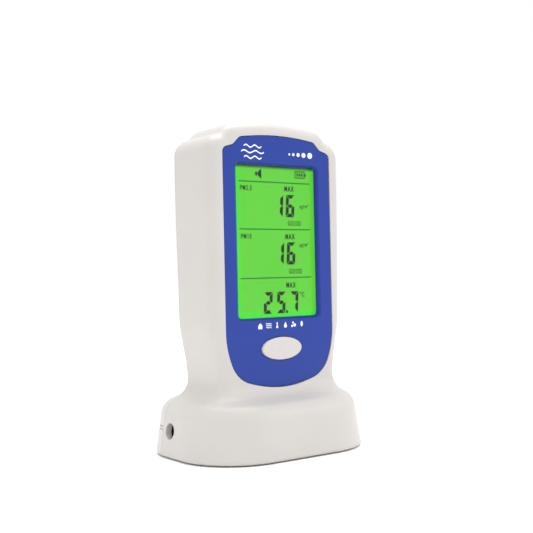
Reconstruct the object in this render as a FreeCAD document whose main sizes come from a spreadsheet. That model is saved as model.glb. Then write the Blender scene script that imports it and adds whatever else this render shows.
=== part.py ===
import FreeCAD, Part
import math
import os
import re

# A desk-top air quality monitor: a flat tower on a broad rounded base, a blue face
# plate with a display and one push button, and a laser particle sensor inside.
# X is across the face, the face looks along -Y, Z is up. The origin is the middle of
# the footprint, at the bottom of the rubber feet. Sizes are millimetres.

Vector = FreeCAD.Vector
doc = FreeCAD.newDocument("air_quality_monitor")
nodes = {}

sizes = {
    # outer form
    "overall_height": 150.2,
    "base_width": 95.4,
    "base_depth": 73.0,
    "base_corner": 30.0,
    "base_draft": 2.5,
    "bottom_round": 1.6,
    "foot_stand": 0.5,
    "shoulder_level": 18.2,
    "shoulder_round": 9.0,
    "waist_width": 65.2,
    "hip_level": 62.7,
    "hip_width": 72.8,
    "tower_width": 74.6,
    "tower_depth": 33.6,
    "tower_shift": 2.0,
    "front_round": 5.4,
    "back_round": 6.2,
    "crown_height": 32.0,
    "crown_radius": 156.0,
    "crown_slope": 7.0,
    "wall": 2.2,
    "base_wall": 3.0,
    "seam_place": 10.0,
    "seam_gap": 0.2,
    # face plate, display and button
    "plate_border": 7.2,
    "plate_drop": 6.1,
    "plate_inset": 0.3,
    "plate_edge_round": 0.35,
    "pad_border": 2.0,
    "plate_thick": 2.0,
    "plate_gap": 0.15,
    "plate_low": 31.1,
    "floor_thick": 1.9,
    "window_width": 44.5,
    "window_height": 69.0,
    "window_drop": 13.4,
    "window_bevel": 1.5,
    "window_corner": 1.8,
    "window_lip": 0.5,
    "strip_tall": 2.2,
    "strip_rise": 1.6,
    "lens_margin": 1.8,
    "lens_top_margin": 4.4,
    "lens_thick": 1.2,
    "lens_gap": 0.3,
    "lcd_thick": 1.8,
    "backlight_thick": 3.2,
    "fit_gap": 0.15,
    "frame_wall": 1.5,
    "frame_web": 2.0,
    "button_level": 47.6,
    "button_width": 22.2,
    "button_tall": 10.3,
    "button_proud": 0.7,
    "button_gap": 0.3,
    "button_travel": 0.5,
    "flange_extra": 1.6,
    "flange_thick": 1.2,
    "button_round": 0.6,
    "stem_radius": 2.4,
    "plunger_out": 0.9,
    "plunger_in": 2.2,
    "switch_width": 6.0,
    "switch_tall": 3.5,
    "plunger_radius": 1.75,
    "running_gap": 0.05,
    # boards
    "board_thick": 1.6,
    "board_low": 40.2,
    "board_top_drop": 7.2,
    "board_screw_across": 40.0,
    "board_screw_edge": 3.4,
    # screws and bosses
    "case_screw_radius": 1.3,
    "case_head_radius": 2.6,
    "case_head_tall": 1.8,
    "case_screw_long": 11.0,
    "case_screw_across": 60.0,
    "case_screw_low": 60.7,
    "case_screw_drop": 24.0,
    "case_boss_radius": 3.0,
    "head_sink": 2.6,
    "small_screw_radius": 1.0,
    "small_head_radius": 1.9,
    "small_head_tall": 1.3,
    "small_screw_long": 5.0,
    "short_screw_long": 4.0,
    "small_boss_radius": 2.6,
    "base_screw_across": 48.0,
    "base_screw_deep": 44.0,
    "base_boss_radius": 3.4,
    # particle sensor
    "sensor_width": 38.0,
    "sensor_tall": 48.0,
    "sensor_deep": 12.2,
    "sensor_low": 78.7,
    "sensor_wall": 1.2,
    "sensor_board_place": 1.4,
    "sensor_board_thick": 1.0,
    "sensor_board_tall": 17.0,
    "chamber_place": 2.4,
    "chamber_rise": 4.0,
    "chamber_wide": 16.0,
    "chamber_deep": 6.0,
    "chamber_tall": 10.0,
    "chamber_wall": 1.2,
    "tunnel_border": 2.0,
    "gasket_thick": 1.5,
    "fan_radius": 9.4,
    "fan_side": 6.0,
    "fan_drop": 12.6,
    "fan_hub_radius": 4.2,
    "fan_deep": 6.0,
    "fan_clear": 1.0,
    "fan_play": 0.8,
    "blade_thick": 0.8,
    "shaft_radius": 0.8,
    "spoke_wide": 1.6,
    "coil_radius": 3.4,
    "blade_count": 9,
    "blade_lean": 28.0,
    "ear_thick": 1.6,
    "lid_thick": 1.0,
    "intake_wide": 22.0,
    "intake_tall": 12.0,
    "intake_rise": 3.2,
    "gasket_border": 2.0,
    "laser_radius": 1.7,
    "laser_long": 8.0,
    # base, battery and charging socket
    "plate_play": 0.25,
    "cover_thick": 2.0,
    "cover_rise": 0.4,
    "foot_radius": 5.0,
    "foot_across": 66.0,
    "foot_deep": 36.0,
    "foot_sunk": 0.5,
    "foot_round": 0.4,
    "rib_thick": 1.4,
    "rib_tall": 7.0,
    "rib_gap": 0.4,
    "cell_long": 58.0,
    "cell_wide": 34.0,
    "cell_thick": 10.0,
    "cell_place": 8.0,
    "cell_round": 2.0,
    "cell_board_wide": 5.0,
    "cell_board_thick": 0.8,
    "cell_board_edge": 3.0,
    "foam_edge": 2.0,
    "foam_thick": 0.8,
    "socket_level": 12.3,
    "socket_place": 4.2,
    "socket_hole": 7.2,
    "socket_wide": 9.0,
    "socket_long": 12.0,
    "socket_tall": 11.0,
    "socket_bore": 5.6,
    "socket_pin": 2.0,
    "socket_clear": 0.2,
    "socket_under": 0.7,
    "socket_deep": 9.5,
    "pin_recess": 0.9,
    "charge_long": 15.5,
    "charge_inset": 1.6,
    "charge_screw_across": 19.0,
    "charge_side": -1.0,
    "pilot_share": 0.85,
    "lead_radius": 0.6,
    "lead_pitch": 1.6,
    "lead_bend": 3.8,
    "lead_out": 4.6,
    "battery_lead_place": 6.0,
    # vents in the back
    "slot_wide": 1.7,
    "slot_pitch": 3.4,
    "slot_long": 24.0,
    "outlet_slot_long": 18.0,
    "outlet_slots": 6,
    "inlet_slots": 4,
    "lower_slot_rise": 8.0,
    "mesh_thick": 0.4,
    "mesh_border": 2.5,
    # sockets and parts on the main board
    "plug_wide": 9.0,
    "plug_deep": 4.5,
    "plug_tall": 5.5,
    "plug_wall": 1.0,
    "power_plug_rise": 8.0,
    "signal_plug_rise": 29.0,
    "plug_place": -16.0,
    "buzzer_radius": 5.5,
    "buzzer_deep": 4.6,
    "buzzer_place": -13.0,
    "buzzer_drop": 13.0,
    "climate_place": 13.0,
    "climate_rise": 7.0,
    "climate_wide": 12.0,
    "climate_deep": 5.4,
    "climate_tall": 13.0,
}

# places and lengths worked out from the sizes above
places = {
    "front_y": "-tower_depth / 2 - tower_shift",
    "back_y": "tower_depth / 2 - tower_shift",
    "back_inner": "back_y - wall",
    "join_level": "overall_height - crown_height",
    "plate_half": "tower_width / 2 - plate_border",
    "plate_top": "overall_height - plate_drop",
    "plate_front": "front_y + plate_inset",
    "plate_back": "plate_front + plate_thick",
    "floor_back": "plate_back + floor_thick",
    "window_top": "plate_top - window_drop",
    "window_low": "window_top - window_height",
    "lens_width": "window_width + 2 * lens_margin",
    "lens_low": "window_low - lens_margin",
    "lens_tall": "window_height + lens_margin + lens_top_margin",
    "lcd_front": "plate_back + lens_thick + lens_gap",
    "lcd_back": "lcd_front + lcd_thick",
    "backlight_back": "lcd_back + backlight_thick",
    "board_front": "backlight_back + frame_web",
    "board_back": "board_front + board_thick",
    "board_width": "lens_width + 2 * fit_gap + 2 * frame_wall",
    "board_top": "overall_height - board_top_drop",
    "board_tall": "board_top - board_low",
    "flange_front": "floor_back + fit_gap",
    "switch_front": "board_front - switch_tall",
    "sensor_back": "back_inner - gasket_thick",
    "sensor_front": "sensor_back - sensor_deep",
    "sensor_top": "sensor_low + sensor_tall",
    "fan_level": "sensor_top - fan_drop",
    "fan_back": "sensor_back - sensor_wall - 2 * fan_clear",
    "cover_low": "foot_stand + cover_rise",
    "cover_top": "cover_low + cover_thick",
    "cell_low": "cover_top + foam_thick",
    "charge_top": "socket_level - socket_tall / 2 - socket_under",
    "charge_low": "charge_top - board_thick",
    "socket_top_lean": "base_draft * (charge_top + socket_tall - foot_stand) / (shoulder_level - foot_stand)",
    "socket_face": "socket_top_lean + base_wall + socket_clear - base_width / 2",
}

sheet = doc.addObject("Spreadsheet::Sheet", "Sizes")
for row, (name, number) in enumerate(sizes.items(), start=1):
    sheet.set(f"A{row}", name)
    sheet.set(f"B{row}", str(number))
    sheet.setAlias(f"B{row}", name)
doc.recompute()
worked = doc.addObject("App::VarSet", "Places")


def formula(text):
    # turns the plain names of sizes and places into references to their objects
    def refer(match):
        word = match.group(0)
        if word in sizes:
            return "Sizes." + word
        if word in places:
            return "Places." + word
        return word
    return re.sub(r"[a-z_][a-z_0-9]*", refer, str(text))


for name, text in places.items():
    worked.addProperty("App::PropertyFloat", name, "Places")
    worked.setExpression(name, formula(text))
doc.recompute()


def value(name):
    if name in sizes:
        return float(getattr(sheet, name))
    return float(getattr(worked, name))


def bind(item, **formulas):
    for key, text in formulas.items():
        item.setExpression(key, formula(text))


def place(item, x=0, y=0, z=0):
    for axis, text in (("x", x), ("y", y), ("z", z)):
        item.setExpression("Placement.Base." + axis, formula(text))
    return item


def node(label, item):
    item.Label = label
    nodes[label] = item
    return item


def box(x, y, z, wide, deep, tall):
    # a block from its lowest corner and its three lengths
    item = doc.addObject("Part::Box", "block")
    bind(item, Length=wide, Width=deep, Height=tall)
    return place(item, x, y, z)


def middle_box(x, y, z, wide, deep, tall):
    # a block centred on x, from y backwards and from z upwards
    return box(f"({x}) - ({wide}) / 2", y, z, wide, deep, tall)


turns = {
    "X": FreeCAD.Rotation(Vector(0, 1, 0), 90),
    "Y": FreeCAD.Rotation(Vector(1, 0, 0), -90),
    "Z": FreeCAD.Rotation(),
}


def rod(axis, x, y, z, radius, length):
    # a cylinder that starts at x, y, z and runs along +axis
    item = doc.addObject("Part::Cylinder", "rod")
    bind(item, Radius=radius, Height=length)
    item.Placement = FreeCAD.Placement(Vector(), turns[axis])
    return place(item, x, y, z)


def fuse(*items):
    if len(items) == 1:
        return items[0]
    item = doc.addObject("Part::MultiFuse", "joined")
    item.Shapes = list(items)
    return item


def cut(base, *tools):
    item = doc.addObject("Part::Cut", "cut")
    item.Base = base
    item.Tool = fuse(*tools)
    return item


def group(*items):
    item = doc.addObject("Part::Compound", "group")
    item.Links = list(items)
    return item


def solid(label, shape):
    item = doc.addObject("Part::Feature", label)
    item.Shape = shape
    return item


def rounded_edges(corners, closed):
    # straight runs joined by tangent arcs: each corner is (point, radius of its rounding)
    count = len(corners)
    edges = []
    first = None
    last = None
    for index, (here, radius) in enumerate(corners):
        start = here
        end = here
        arc = None
        if radius > 0:
            back = (corners[index - 1][0] - here).normalize()
            ahead = (corners[(index + 1) % count][0] - here).normalize()
            half = back.getAngle(ahead) / 2
            reach = radius / math.tan(half)
            start = here + back * reach
            end = here + ahead * reach
            centre = here + (back + ahead).normalize() * (radius / math.sin(half))
            crest = centre + (here - centre).normalize() * radius
            arc = Part.Arc(start, crest, end).toShape()
        if last is None:
            first = start
        else:
            edges.append(Part.LineSegment(last, start).toShape())
        if arc:
            edges.append(arc)
        last = end
    if closed:
        edges.append(Part.LineSegment(last, first).toShape())
    return Part.Wire(edges)


def rounded_outline(corners, y=0.0):
    # a closed outline in the XZ plane: each corner is (x, z, radius of its rounding)
    return rounded_edges([(Vector(x, y, z), radius) for x, z, radius in corners], True)


# how far in and how far down the corners of the two arched tops are, and their roundings
housing_crown = {
    "shoulder_drop": 8.7, "shoulder_radius": 8.0,
    "step_in": 7.3, "step_drop": 6.6, "step_radius": 4.0,
    "arch_in": 11.8, "arch_end_radius": 8.5, "arch_radius": value("crown_radius"),
}
plate_crown = {
    "shoulder_drop": 6.9, "shoulder_radius": 2.6,
    "step_in": 5.5, "step_drop": 5.3, "step_radius": 3.0,
    "arch_in": 9.2, "arch_end_radius": 3.5, "arch_radius": 130.0,
}
# the bottom of the plate: a shallow arc in the middle, a round corner, a long side curve
bowl = {
    "middle_drop": 2.8, "middle_radius": 57.0,
    "corner_in": 5.3, "corner_rise": 3.8, "corner_radius": 14.5,
    "side_rise": 18.5, "side_radius": 38.0,
}


def crown_corners(half_width, top, crown):
    # right half of an arched top with a step each side: corners from the side to the middle
    slope = math.radians(value("crown_slope"))
    peak = top + crown["arch_radius"] * (1 / math.cos(slope) - 1)
    arch_end = half_width - crown["arch_in"]
    return [
        (half_width, top - crown["shoulder_drop"], crown["shoulder_radius"]),
        (half_width - crown["step_in"], top - crown["step_drop"], crown["step_radius"]),
        (arch_end, peak - arch_end * math.tan(slope), crown["arch_end_radius"]),
        (0.0, peak, crown["arch_radius"]),
    ]


def mirrored(right_side):
    # the whole outline from its right side, which runs from bottom to top middle
    left_side = [(-x, z, radius) for x, z, radius in right_side if x > 0]
    return right_side + left_side[::-1]


def plate_outline(y=0.0):
    # the face plate: an arched, stepped top, straight sides and a bowl-shaped bottom
    half_width = value("plate_half")
    low = value("plate_low")
    bottom = [
        (0.0, low - bowl["middle_drop"], bowl["middle_radius"]),
        (half_width - bowl["corner_in"], low + bowl["corner_rise"], bowl["corner_radius"]),
        (half_width, low + bowl["side_rise"], bowl["side_radius"]),
    ]
    return rounded_outline(mirrored(bottom + crown_corners(half_width, value("plate_top"), plate_crown)), y)


def rim_edges(form, y, skip_level):
    # the edges of a form that lie in the plane at y, without the one along skip_level
    found = []
    for edge in form.Edges:
        ends = [vertex.Point for vertex in edge.Vertexes]
        on_plane = all(abs(point.y - y) < 0.01 for point in ends)
        on_level = all(abs(point.z - skip_level) < 0.01 for point in ends)
        if on_plane and not on_level:
            found.append(edge)
    return found


def crown_form(inset):
    # the top of the housing: its front outline carried from front to back and rounded
    half_width = value("tower_width") / 2
    front = value("front_y") + inset
    back = value("back_y") - inset
    join = value("join_level")
    top = crown_corners(half_width, value("overall_height"), housing_crown)
    outline = rounded_outline(mirrored([(half_width, join - inset, 0.0)] + top), front)
    face = Part.Face(outline)
    if inset > 0:
        face = face.makeOffset2D(-inset)
    form = face.extrude(Vector(0, back - front, 0))
    form = form.makeFillet(value("front_round") - inset, rim_edges(form, front, join))
    return form.makeFillet(value("back_round") - inset, rim_edges(form, back, join))


def section(level, half_width, half_depth, middle, front_radius, back_radius):
    # one level of the housing: a rectangle with rounded corners, its middle at y = middle
    def corner(x, y, radius, start_angle):
        centre = Vector(x - math.copysign(radius, x), middle + y - math.copysign(radius, y), level)
        circle = Part.Circle(centre, Vector(0, 0, 1), radius)
        return Part.Arc(circle, math.radians(start_angle), math.radians(start_angle + 90)).toShape()

    arcs = [
        corner(half_width, -half_depth, front_radius, 270),
        corner(half_width, half_depth, back_radius, 0),
        corner(-half_width, half_depth, back_radius, 90),
        corner(-half_width, -half_depth, front_radius, 180),
    ]
    edges = []
    for index, arc in enumerate(arcs):
        following = arcs[(index + 1) % len(arcs)]
        end = arc.valueAt(arc.LastParameter)
        start = following.valueAt(following.FirstParameter)
        edges.append(arc)
        edges.append(Part.LineSegment(end, start).toShape())
    return Part.Wire(edges)


def base_section(level, inset):
    # the housing's outline in the drafted skirt of the base
    stand = value("foot_stand")
    lean = value("base_draft") * (level - stand) / (value("shoulder_level") - stand) + inset
    corner = value("base_corner") - lean
    return section(level, value("base_width") / 2 - lean, value("base_depth") / 2 - lean, 0.0, corner, corner)


def blend_section(level, share, inset, lean):
    # between the waist (share 0) and the top of the base's skirt (share 1)
    def between(waist, base):
        return waist + share * (base - waist) - inset * lean

    draft = value("base_draft")
    corner = value("base_corner") - draft
    return section(
        level,
        between(value("waist_width") / 2, value("base_width") / 2 - draft),
        between(value("tower_depth") / 2, value("base_depth") / 2 - draft),
        (share - 1) * value("tower_shift"),
        between(value("front_round"), corner),
        between(value("back_round"), corner),
    )


def tower_section(level, half_width, inset):
    half_depth = value("tower_depth") / 2 - inset
    return section(level, half_width - inset, half_depth, -value("tower_shift"),
                   value("front_round") - inset, value("back_round") - inset)


def lower_form(inset, base_inset):
    # from the floor to the crown: drafted skirt, convex shoulder, concave neck, tower;
    # the levels are evenly spaced along the side, so that the surface runs smoothly
    stand = value("foot_stand")
    shoulder = value("shoulder_level")
    bend = value("shoulder_round")
    base_half = value("base_width") / 2 - value("base_draft")
    waist_half = value("waist_width") / 2
    draft_angle = math.atan(value("base_draft") / (shoulder - stand))
    steepest = math.acos((1 + math.cos(draft_angle) - (base_half - waist_half) / bend) / 2)
    waist_level = shoulder + bend * (2 * math.sin(steepest) - math.sin(draft_angle))
    skirt_steps = 4
    bend_steps = 4
    hip_steps = 7
    tower_steps = 9
    first = stand if base_inset == 0 else stand - 1.0
    sections = []
    for step in range(skirt_steps):
        sections.append(base_section(first + (shoulder - first) * step / skirt_steps, base_inset))
    for step in range(bend_steps + 1):
        angle = draft_angle + (steepest - draft_angle) * step / bend_steps
        half = base_half - bend * (math.cos(draft_angle) - math.cos(angle))
        level = shoulder + bend * (math.sin(angle) - math.sin(draft_angle))
        share = (half - waist_half) / (base_half - waist_half)
        thick = inset + share * (base_inset - inset)
        sections.append(blend_section(level - thick * math.sin(angle), share, thick, math.cos(angle)))
    for step in range(bend_steps - 1, -1, -1):
        angle = steepest * step / bend_steps
        half = waist_half + bend * (1 - math.cos(angle))
        level = waist_level - bend * math.sin(angle)
        share = (half - waist_half) / (base_half - waist_half)
        thick = inset + share * (base_inset - inset)
        sections.append(blend_section(level - thick * math.sin(angle), share, thick, math.cos(angle)))
    hip = value("hip_level")
    hip_half = value("hip_width") / 2
    for step in range(1, hip_steps + 1):
        share = step / hip_steps
        eased = share * share * (3 - 2 * share)
        level = waist_level + share * (hip - waist_level)
        sections.append(tower_section(level, waist_half + eased * (hip_half - waist_half), inset))
    join = value("join_level")
    top_half = value("tower_width") / 2
    for step in range(1, tower_steps + 1):
        share = step / tower_steps
        eased = share * share * (3 - 2 * share)
        level = hip + share * (join - hip)
        sections.append(tower_section(level, hip_half + eased * (top_half - hip_half), inset))
    form = Part.makeLoft(sections, True, False)
    if base_inset > 0:
        return form
    bottom = [edge for edge in form.Edges
              if all(abs(vertex.Point.z - stand) < 0.01 for vertex in edge.Vertexes)]
    return form.makeFillet(value("bottom_round"), bottom)


def housing_form(inset, base_inset):
    return lower_form(inset, base_inset).fuse(crown_form(inset)).removeSplitter()


def cylinder(start, direction, radius, length):
    return Part.makeCylinder(radius, length, Vector(*start), Vector(*direction))


def block(low, high):
    spread = [high[axis] - low[axis] for axis in range(3)]
    return Part.makeBox(*spread, Vector(*low))


# how deep the pilot holes of small screws are, and how far cutting tools reach past a face
pilot_deep = 8.0
past = 1.0


def small_shank():
    return value("small_screw_radius") * value("pilot_share")


def case_shank():
    return value("case_screw_radius") * value("pilot_share")


def rectangle_points(across, levels):
    return [(side * across / 2, level) for level in levels for side in (-1, 1)]


def case_screw_points():
    levels = (value("case_screw_low"), value("overall_height") - value("case_screw_drop"))
    return rectangle_points(value("case_screw_across"), levels)


def board_screw_points():
    edge = value("board_screw_edge")
    levels = (value("board_low") + edge, value("board_top") - edge)
    return rectangle_points(value("board_screw_across"), levels)


def base_screw_points(side):
    return [(across * value("base_screw_across") / 2, side * value("base_screw_deep") / 2)
            for across in (-1, 1)]


def sensor_screw_points():
    out = value("small_boss_radius") + 0.6
    across = value("sensor_width") / 2 - value("small_boss_radius")
    return [(-across, value("sensor_top") + out), (across, value("sensor_low") - out)]


def button_prism(extra, front, back):
    # the button's oval, wider all round by extra, from front to back
    ellipse = Part.Ellipse(Vector(0, 0, 0), value("button_width") / 2 + extra,
                           value("button_tall") / 2 + extra)
    wire = Part.Wire([ellipse.toShape()])
    face = Part.Face(wire)
    face.rotate(Vector(), Vector(1, 0, 0), 90)
    face.translate(Vector(0, front, value("button_level")))
    return face.extrude(Vector(0, back - front, 0))


def base_boss(x, y):
    # runs up into the shoulder of the base, which trims it
    tall = value("shoulder_level") + 2 * value("shoulder_round") - value("cover_top")
    return cylinder((x, y, value("cover_top")), (0, 0, 1), value("base_boss_radius"), tall)


def base_pilot(x, y):
    return cylinder((x, y, value("cover_top") - 1), (0, 0, 1), small_shank(), pilot_deep)


def vent_slots(x, level, count, length):
    # a column of rounded slots through the back wall
    radius = value("slot_wide") / 2
    front = value("back_inner") - 1
    deep = value("wall") + 2
    slots = []
    for index in range(count):
        z = level + index * value("slot_pitch")
        reach = length / 2 - radius
        slots.append(block((x - reach, front, z - radius), (x + reach, front + deep, z + radius)))
        for side in (-1, 1):
            slots.append(cylinder((x + side * reach, front, z), (0, 1, 0), radius, deep))
    return slots


def front_shell(shell, trim):
    seam = value("seam_place")
    reach = 200.0
    half = shell.common(block((-reach, -reach, -1), (reach, seam - value("seam_gap") / 2, reach)))
    floor_back = value("floor_back")
    pad_face = Part.Face(plate_outline().makeOffset2D(value("pad_border")))
    pad = pad_face.extrude(Vector(0, value("tower_depth"), 0))
    pad.translate(Vector(0, value("front_y") - value("plate_inset"), 0))
    pad = pad.common(block((-reach, -reach, -1), (reach, floor_back, reach)))
    raised = [pad]
    for x, z in case_screw_points():
        raised.append(cylinder((x, value("front_y") + 1, z), (0, 1, 0), value("case_boss_radius"),
                               seam - value("front_y") - 1))
    for x, z in board_screw_points():
        raised.append(cylinder((x, floor_back - 1, z), (0, 1, 0), value("small_boss_radius"),
                               value("board_front") - floor_back + 1))
    for x, y in base_screw_points(-1):
        raised.append(base_boss(x, y))
    inside = raised[0].multiFuse(raised[1:]).common(trim)
    half = half.fuse(inside)
    # the recess for the plate is open to the front, past the swelling of the base
    recess_face = Part.Face(plate_outline().makeOffset2D(value("plate_gap")))
    recess = recess_face.extrude(Vector(0, value("base_depth"), 0))
    recess.translate(Vector(0, value("plate_back") - value("base_depth"), 0))
    gap = value("fit_gap")
    lens_half = value("lens_width") / 2 + gap
    window = block((-lens_half, value("front_y") - 1, value("lens_low") - gap),
                   (lens_half, floor_back + 1, value("lens_low") + value("lens_tall") + gap))
    tools = [recess, window, button_prism(value("button_gap"), value("front_y") - 1, floor_back + 1)]
    for x, z in case_screw_points():
        long_hole = value("case_screw_long")
        tools.append(cylinder((x, seam - long_hole, z), (0, 1, 0), case_shank(), long_hole + past))
    for x, z in board_screw_points():
        tools.append(cylinder((x, floor_back - 0.5, z), (0, 1, 0), small_shank(), pilot_deep))
    for x, y in base_screw_points(-1):
        tools.append(base_pilot(x, y))
    tools.append(cylinder((-value("base_width"), value("socket_place"), value("socket_level")), (1, 0, 0),
                          value("socket_hole") / 2, value("base_width") + value("socket_face") + 1.0))
    return half.cut(tools[0].multiFuse(tools[1:]))


def back_shell(shell, trim):
    seam = value("seam_place")
    reach = 200.0
    half = shell.common(block((-reach, seam + value("seam_gap") / 2, -1), (reach, reach, reach)))
    raised = []
    for x, z in case_screw_points():
        raised.append(cylinder((x, seam, z), (0, 1, 0), value("case_boss_radius"),
                               value("back_y") - 0.5 - seam))
    for x, y in base_screw_points(1):
        raised.append(base_boss(x, y))
    for x, z in sensor_screw_points():
        raised.append(cylinder((x, value("sensor_back"), z), (0, 1, 0), value("small_boss_radius"),
                               value("gasket_thick") + 1))
    half = half.fuse(raised[0].multiFuse(raised[1:]).common(trim))
    tools = []
    for x, z in case_screw_points():
        tools.append(cylinder((x, seam - 1, z), (0, 1, 0), value("case_screw_radius") + 0.15,
                              value("wall") + 30))
        tools.append(cylinder((x, value("back_y") - value("head_sink"), z), (0, 1, 0),
                              value("case_head_radius") + 0.2, value("head_sink") + 1))
    for x, y in base_screw_points(1):
        tools.append(base_pilot(x, y))
    for x, z in sensor_screw_points():
        tools.append(cylinder((x, value("sensor_back") - 1, z), (0, 1, 0), small_shank(), 3.6))
    outlets = int(value("outlet_slots"))
    inlets = int(value("inlet_slots"))
    pitch = value("slot_pitch")
    tools += vent_slots(value("fan_side"), value("fan_level") - (outlets - 1) / 2 * pitch, outlets,
                        value("outlet_slot_long"))
    intake_middle = value("sensor_low") + value("intake_rise") + value("intake_tall") / 2
    tools += vent_slots(0.0, intake_middle - (inlets - 1) / 2 * pitch, inlets, value("slot_long"))
    tools += vent_slots(0.0, value("board_low") + value("lower_slot_rise"), inlets, value("slot_long"))
    return half.cut(tools[0].multiFuse(tools[1:]))


def housing():
    outer = housing_form(0.0, 0.0)
    inner = housing_form(value("wall"), value("base_wall"))
    shell = outer.cut(inner)
    trim = housing_form(value("wall") / 2, value("wall") / 2)
    node("front_shell", solid("front_shell", front_shell(shell, trim)))
    node("back_shell", solid("back_shell", back_shell(shell, trim)))


def face_plate():
    plate = Part.Face(plate_outline(value("plate_front"))).extrude(Vector(0, value("plate_thick"), 0))
    rim = [edge for edge in plate.Edges
           if all(abs(vertex.Point.y - value("plate_front")) < 0.01 for vertex in edge.Vertexes)]
    plate = plate.makeFillet(value("plate_edge_round"), rim)
    bevel = value("window_bevel")
    half = value("window_width") / 2
    top = value("window_top")
    low = value("window_low")

    def frame_wire(grow, y, radius):
        corners = [(half + grow, low - grow, radius), (half + grow, top + grow, radius),
                   (-half - grow, top + grow, radius), (-half - grow, low - grow, radius)]
        return rounded_outline(corners, y)

    front = value("plate_front")
    back = value("plate_back")
    corner = value("window_corner")
    wide_end = frame_wire(bevel, front - 0.01, corner + bevel / 2)
    funnel = Part.makeLoft([wide_end, frame_wire(0.0, back - value("window_lip"), corner)], True, True)
    through = Part.Face(frame_wire(0.0, front - 1, corner)).extrude(Vector(0, value("plate_thick") + 2, 0))
    hole = button_prism(value("button_gap"), front - 1, back + 1)
    node("face_plate", solid("face_plate", plate.cut(funnel.fuse(through)).cut(hole)))


def display():
    node("display_lens", middle_box(0, "plate_back", "lens_low", "lens_width", "lens_thick", "lens_tall"))
    node("lcd_glass", middle_box(0, "lcd_front", "lens_low", "lens_width", "lcd_thick", "lens_tall"))
    node("backlight_panel", middle_box(0, "lcd_back", "lens_low", "lens_width - 1", "backlight_thick",
                                       "window_height + lens_margin + 0.6"))
    node("contact_strip", middle_box(0, "lcd_back", "window_top + strip_rise", "window_width - 4",
                                     "board_front - lcd_back", "strip_tall"))
    outside = middle_box(0, "floor_back", "lens_low - fit_gap - frame_wall", "board_width",
                         "board_front - floor_back", "lens_tall + 2 * fit_gap + 2 * frame_wall")
    pocket = middle_box(0, "floor_back - 1", "lens_low - fit_gap", "lens_width + 2 * fit_gap",
                        "backlight_back - floor_back + 1", "lens_tall + 2 * fit_gap")
    frame_deep = "board_front - floor_back + 1"
    opening = middle_box(0, "floor_back", "lens_low + 4", "lens_width - 8", frame_deep, "window_height - 8")
    strip_slot = middle_box(0, "floor_back", "window_top + strip_rise - 0.2", "window_width - 3.6",
                            frame_deep,
                            "strip_tall + 0.4")
    node("display_frame", cut(outside, pocket, opening, strip_slot))


def button():
    front = value("front_y") - value("button_proud")
    flange_front = value("flange_front")
    cap = button_prism(0.0, front, flange_front + 0.1)
    rim = [edge for edge in cap.Edges if all(abs(vertex.Point.y - front) < 0.01 for vertex in edge.Vertexes)]
    cap = cap.makeFillet(value("button_round"), rim)
    flange = button_prism(value("flange_extra"), flange_front, flange_front + value("flange_thick"))
    stem_end = value("switch_front") - value("plunger_out")
    stem = cylinder((0, flange_front, value("button_level")), (0, 1, 0), value("stem_radius"),
                    stem_end - flange_front)
    node("button_cap", solid("button_cap", cap.multiFuse([flange, stem]).removeSplitter()))
    node("switch_plunger", rod("Y", 0, "switch_front - plunger_out", "button_level", "plunger_radius",
                               "plunger_out + plunger_in"))
    body = middle_box(0, "switch_front", "button_level - switch_width / 2", "switch_width", "switch_tall",
                      "switch_width")
    well = rod("Y", 0, "switch_front - 1", "button_level", "plunger_radius + running_gap",
               "1 + plunger_in + button_travel + 0.2")
    node("switch_body", cut(body, well))


def plug_socket(rise):
    # a white box for a crimped plug, open to the back and to the top
    low = f"board_low + {rise}"
    body = middle_box("plug_place", "board_back", low, "plug_wide", "plug_deep", "plug_tall")
    well = middle_box("plug_place", "board_back + plug_wall", low + " + plug_wall",
                      "plug_wide - 2 * plug_wall", "plug_deep", "plug_tall")
    return cut(body, well)


def main_board():
    board = middle_box(0, "board_front", "board_low", "board_width", "board_thick", "board_tall")
    holes = []
    for side in (-1, 1):
        for level in ("board_low + board_screw_edge", "board_top - board_screw_edge"):
            holes.append(rod("Y", f"{side} * board_screw_across / 2", "board_front - 1", level,
                             "small_screw_radius + 0.2", "board_thick + 2"))
    node("main_board", cut(board, *holes))
    # each chip: across, up from the board's lower edge, width, thickness, height
    chips = [
        middle_box(-4, "board_back", "board_low + 22", 10, 1.4, 10),
        middle_box(9, "board_back", "board_low + 33", 6, 1.2, 5),
        middle_box(-14, "board_back", "board_low + 42", 4, 1.1, 5),
        middle_box(15, "board_back", "board_low + 22", 5, 1.1, 4),
    ]
    node("board_chips", group(*chips))
    sockets = [plug_socket("power_plug_rise"), plug_socket("signal_plug_rise")]
    node("board_sockets", group(*sockets))
    level = "board_top - buzzer_drop"
    case = rod("Y", "buzzer_place", "board_back", level, "buzzer_radius", "buzzer_deep")
    sound_hole = rod("Y", "buzzer_place", "board_back + buzzer_deep - 1", level, 1.0, 2)
    node("buzzer", cut(case, sound_hole))
    cover = middle_box("climate_place", "board_back", "board_low + climate_rise", "climate_wide",
                       "climate_deep",
                       "climate_tall")
    gills = [middle_box("climate_place", "board_back + climate_deep - 1",
                        f"board_low + climate_rise + {2 + 2 * index}", "climate_wide - 4", 2, 0.9)
             for index in range(5)]
    node("climate_sensor", cut(cover, *gills))


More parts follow.
